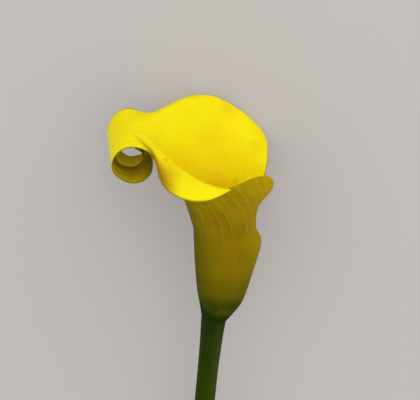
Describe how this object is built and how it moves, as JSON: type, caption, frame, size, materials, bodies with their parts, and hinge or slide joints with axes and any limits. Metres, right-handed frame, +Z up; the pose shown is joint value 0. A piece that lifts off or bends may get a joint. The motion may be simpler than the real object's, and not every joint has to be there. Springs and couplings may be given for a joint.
{
  "type": "calla lily flower",
  "caption": "Cut calla lily lying on its back: funnel-shaped spathe with a rolled tip around a hidden spadix, on a smooth round stem.",
  "frame": {"origin": "middle of the bottom of the whole flower as it lies on a table", "axes": "+Y runs along the flower from the cut end of the stem to the mouth of the bloom, +Z is up, and the rolled tip of the spathe is on the -X side"},
  "size_m": [0.0828, 0.2796, 0.0739],
  "materials": {
    "stem": "satin",
    "spathe": "satin",
    "spadix": "matte"
  },
  "bodies": {
    "root": {"stem": "stem", "spathe": "spathe", "spadix": "spadix"}
  },
  "joints": []
}
